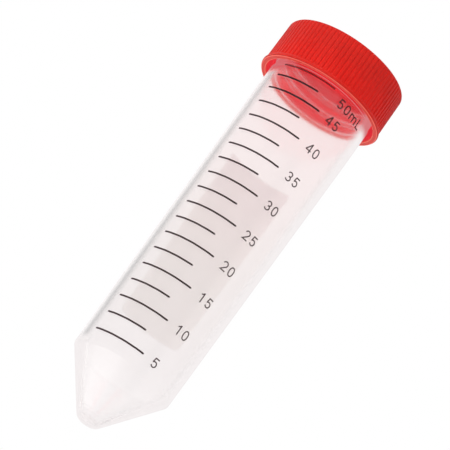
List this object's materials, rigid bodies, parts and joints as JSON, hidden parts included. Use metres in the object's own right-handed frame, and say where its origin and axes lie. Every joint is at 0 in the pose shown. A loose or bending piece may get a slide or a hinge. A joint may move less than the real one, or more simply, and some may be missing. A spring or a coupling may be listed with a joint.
{
  "type": "conical test tube",
  "caption": "Translucent conical-bottom test tube with a printed volume scale, a writing panel and a ribbed screw cap that unscrews.",
  "frame": {"origin": "lowest point of the conical tip, on the tube's axis", "axes": "+Z along the tube from the tip to the cap; the printed scale faces -Y and the writing panel faces +Y; +X is to the right when the scale is read"},
  "size_m": [0.0348, 0.0348, 0.1144],
  "materials": {
    "tube_plastic": "translucent natural polypropylene, satin, faint milky haze",
    "cap_plastic": "glossy moulded red polyethylene, slightly translucent at thin edges",
    "seal_rubber": "soft red elastomer disc, satin",
    "scale_ink": "matt printed ink",
    "numeral_ink": "matt printed ink",
    "panel_ink": "matt chalky printed ink with a slight tooth for pencil"
  },
  "bodies": {
    "tube": {"tube_body": "tube_plastic", "scale_lines_major": "scale_ink", "scale_lines_minor": "scale_ink", "scale_numerals": "numeral_ink", "writing_panel": "panel_ink"},
    "seal": {"cap_seal": "seal_rubber"},
    "cap": {"screw_cap": "cap_plastic"}
  },
  "joints": [
    {"name": "cap_lift", "type": "slide", "parent": "tube", "child": "seal", "axis": [0, 0, 1], "range_m": [0, 0.0049]},
    {"name": "cap_turn", "type": "hinge", "parent": "seal", "child": "cap", "pos_m": [0, 0, 0.1123], "axis": [0, 0, 1], "range_deg": [0, 540]}
  ],
  "couplings": [
    {"joint": "cap_lift", "follows": "cap_turn", "m_per_rad": 0.0005093}
  ]
}
